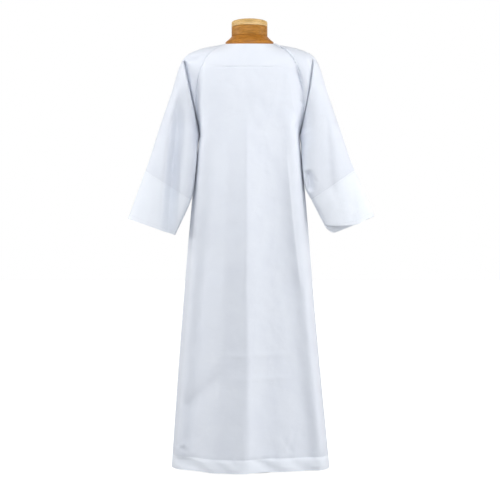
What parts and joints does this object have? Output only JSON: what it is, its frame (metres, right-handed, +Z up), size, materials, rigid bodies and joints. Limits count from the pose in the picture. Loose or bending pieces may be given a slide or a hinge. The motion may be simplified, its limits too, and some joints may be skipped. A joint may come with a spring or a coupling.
{
  "type": "alb robe on a limbless dress form",
  "caption": "Long white alb with raglan sleeves and deep cuffs, worn by a limbless dress form with a wooden neck, on a pole and a round foot plate.",
  "frame": {"origin": "centre of the foot plate's flat underside, on the floor", "axes": "+Z up along the pole, -Y out of the robe's front, +X towards the wearer's left"},
  "size_m": [0.807, 0.3639, 1.49],
  "materials": {
    "alb_cloth": "plain-woven white polyester and cotton, bluish white, matt",
    "form_cover": "pale knitted cover over a padded shell",
    "light_wood": "light, fine-grained, satin",
    "brown_wood": "orange-brown, fine-grained, satin",
    "collar_wood": "warm brown, fine-grained, satin",
    "pale_metal": "pale grey paint, satin"
  },
  "bodies": {
    "root": {"alb_front": "alb_cloth", "alb_back": "alb_cloth", "sleeve_left": "alb_cloth", "sleeve_right": "alb_cloth", "cuff_left": "alb_cloth", "cuff_right": "alb_cloth", "closure_lap": "alb_cloth", "form_torso": "form_cover", "neck_cap": "light_wood", "neck_block": "brown_wood", "neck_base": "collar_wood", "stand_pole": "pale_metal", "stand_base": "pale_metal"}
  },
  "joints": []
}
